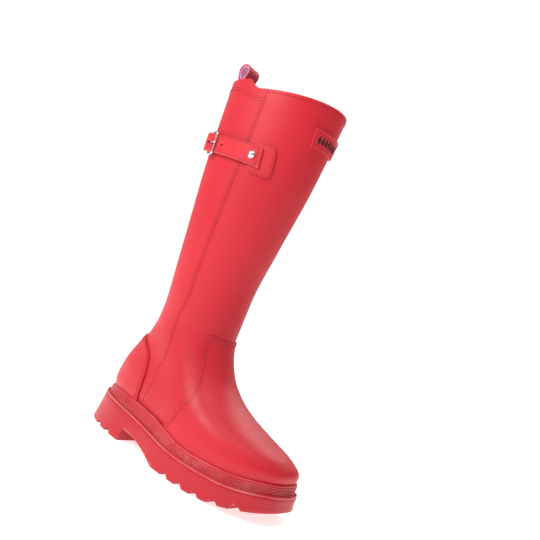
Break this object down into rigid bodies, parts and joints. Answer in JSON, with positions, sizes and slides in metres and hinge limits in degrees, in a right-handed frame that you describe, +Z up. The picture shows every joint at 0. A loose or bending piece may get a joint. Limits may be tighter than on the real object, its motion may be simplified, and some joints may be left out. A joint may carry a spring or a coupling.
{
  "type": "rubber rain boot",
  "caption": "Tall pull-on rubber rain boot for the right foot: lugged sole, ribbed midsole band, side buckle strap, back pull loop, lift-out footbed and an open fabric-lined leg.",
  "frame": {"origin": "middle of the bounding box on the ground plane the tread stands on", "axes": "+X to the toe, -Y to the outer side of the leg where the buckle is, +Z up the leg"},
  "size_m": [0.2832, 0.1214, 0.4743],
  "materials": {
    "outsole": "matte moulded rubber",
    "heel_filler": "closed-cell foam",
    "shank": "sprung steel strip",
    "midsole_band": "ribbed matte rubber",
    "welt": "matte rubber with stitch pattern",
    "insole_board": "fibre board",
    "footbed": "fabric-topped foam",
    "lining_sock": "knit lining",
    "collar_binding": "woven tape",
    "vamp": "matte rubber",
    "toe_puff": "thermoplastic stiffener",
    "heel_counter": "matte rubber",
    "counter_stiffener": "thermoplastic stiffener",
    "shaft_front": "matte rubber",
    "shaft_back": "matte rubber",
    "pull_loop": "rubber-faced strip",
    "pull_loop_lining": "lilac fabric",
    "strap_patch": "matte rubber",
    "strap": "matte rubber",
    "buckle_frame": "polished steel",
    "buckle_prong": "polished steel",
    "buckle_anchor": "matte rubber",
    "rivet_cap": "polished steel",
    "rivet_post": "plain steel",
    "label_plate": "moulded rubber",
    "label_marks": null
  },
  "bodies": {
    "boot": {"outsole": "outsole", "heel_filler": "heel_filler", "shank": "shank", "midsole_band": "midsole_band", "welt": "welt", "insole_board": "insole_board", "lining_sock": "lining_sock", "collar_binding": "collar_binding", "vamp": "vamp", "toe_puff": "toe_puff", "heel_counter": "heel_counter", "counter_stiffener": "counter_stiffener", "shaft_front": "shaft_front", "shaft_back": "shaft_back", "strap_patch": "strap_patch", "strap": "strap", "buckle_anchor": "buckle_anchor", "rivet_cap": "rivet_cap", "rivet_post": "rivet_post", "label_plate": "label_plate", "label_marks": "label_marks"},
    "footbed": {"footbed": "footbed"},
    "loop": {"pull_loop": "pull_loop", "pull_loop_lining": "pull_loop_lining"},
    "frame": {"buckle_frame": "buckle_frame"},
    "prong": {"buckle_prong": "buckle_prong"}
  },
  "joints": [
    {"name": "footbed_lift", "type": "hinge", "parent": "boot", "child": "footbed", "pos_m": [0.12434, 0, 0.03281], "axis": [0, 1, 0], "range_deg": [0, 6]},
    {"name": "pull_loop_flop", "type": "hinge", "parent": "boot", "child": "loop", "pos_m": [-0.1298, -0.00454, 0.4418], "axis": [0, 1, 0], "range_deg": [-45, 45], "stiffness_Nm_per_rad": 0.02},
    {"name": "buckle_tilt", "type": "hinge", "parent": "boot", "child": "frame", "pos_m": [-0.1067, -0.04445, 0.36171], "axis": [0.081, 0.0046, -0.9967], "range_deg": [0, 4]},
    {"name": "prong_lift", "type": "hinge", "parent": "frame", "child": "prong", "pos_m": [-0.1067, -0.04445, 0.36171], "axis": [0.081, 0.0046, -0.9967], "range_deg": [0, 4]}
  ]
}
